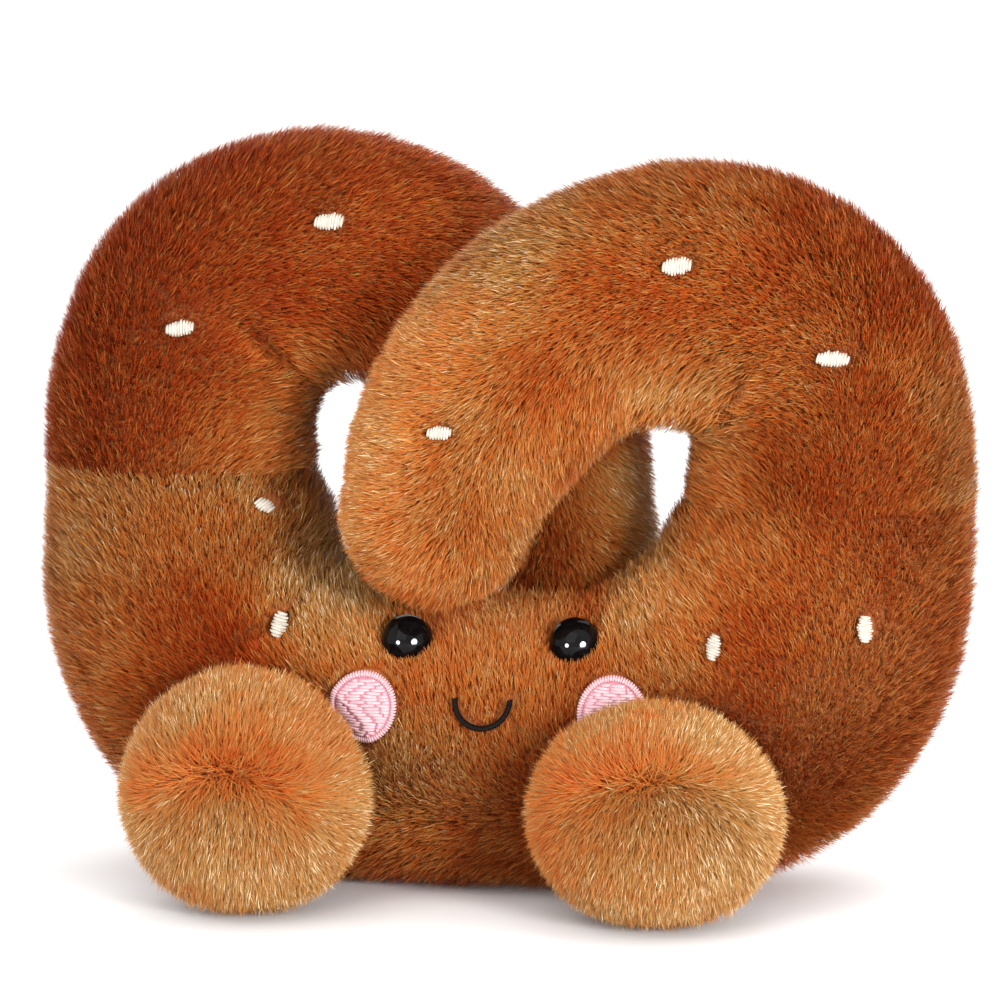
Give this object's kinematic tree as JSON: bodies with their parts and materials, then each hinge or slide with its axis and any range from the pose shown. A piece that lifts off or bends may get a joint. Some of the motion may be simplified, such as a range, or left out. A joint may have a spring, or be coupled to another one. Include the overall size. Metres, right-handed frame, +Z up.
{
  "type": "plush pretzel toy",
  "caption": "Palm-size stuffed fur toy shaped as a twisted soft pretzel, with two round feet, glossy eyes and an embroidered smile, cheeks and salt.",
  "frame": {"origin": "on the ground under the middle of the toy's box", "axes": "+Z up, the face looks along -Y, +X to the right seen from the front"},
  "size_m": [0.1323, 0.0756, 0.1045],
  "materials": {
    "bowl_fur": "long combed plush fur, orange-brown with honey and rust patches",
    "left_arm_fur": "long combed plush fur, red-brown",
    "right_arm_fur": "long combed plush fur, honey-tan with rust patches",
    "foot_fur": "longer plush fur, golden tan over a rust crease",
    "fibre": "loose polyester fibre",
    "bean_bag": "thin woven cloth",
    "white_thread": "satin-stitched embroidery thread",
    "pink_thread": "fill-stitched embroidery thread",
    "black_thread": "satin-stitched embroidery thread",
    "eye_plastic": "polished dome",
    "washer_plastic": "plain moulded"
  },
  "bodies": {
    "root": {"bowl_front_panel": "bowl_fur", "bowl_back_panel": "bowl_fur", "left_arm_front_panel": "left_arm_fur", "left_arm_back_panel": "left_arm_fur", "right_arm_front_panel": "right_arm_fur", "right_arm_back_panel": "right_arm_fur", "left_foot_cover": "foot_fur", "right_foot_cover": "foot_fur", "left_foot_stuffing": "fibre", "right_foot_stuffing": "fibre", "core_stuffing": "fibre", "bean_pouch": "bean_bag", "left_eye": "eye_plastic", "right_eye": "eye_plastic", "left_eye_washer": "washer_plastic", "right_eye_washer": "washer_plastic", "left_cheek_embroidery": "pink_thread", "right_cheek_embroidery": "pink_thread", "mouth_embroidery": "black_thread", "salt_stitch_1": "white_thread", "salt_stitch_2": "white_thread", "salt_stitch_3": "white_thread", "salt_stitch_4": "white_thread", "salt_stitch_5": "white_thread", "salt_stitch_6": "white_thread", "salt_stitch_7": "white_thread", "salt_stitch_8": "white_thread", "salt_stitch_9": "white_thread"}
  },
  "joints": []
}
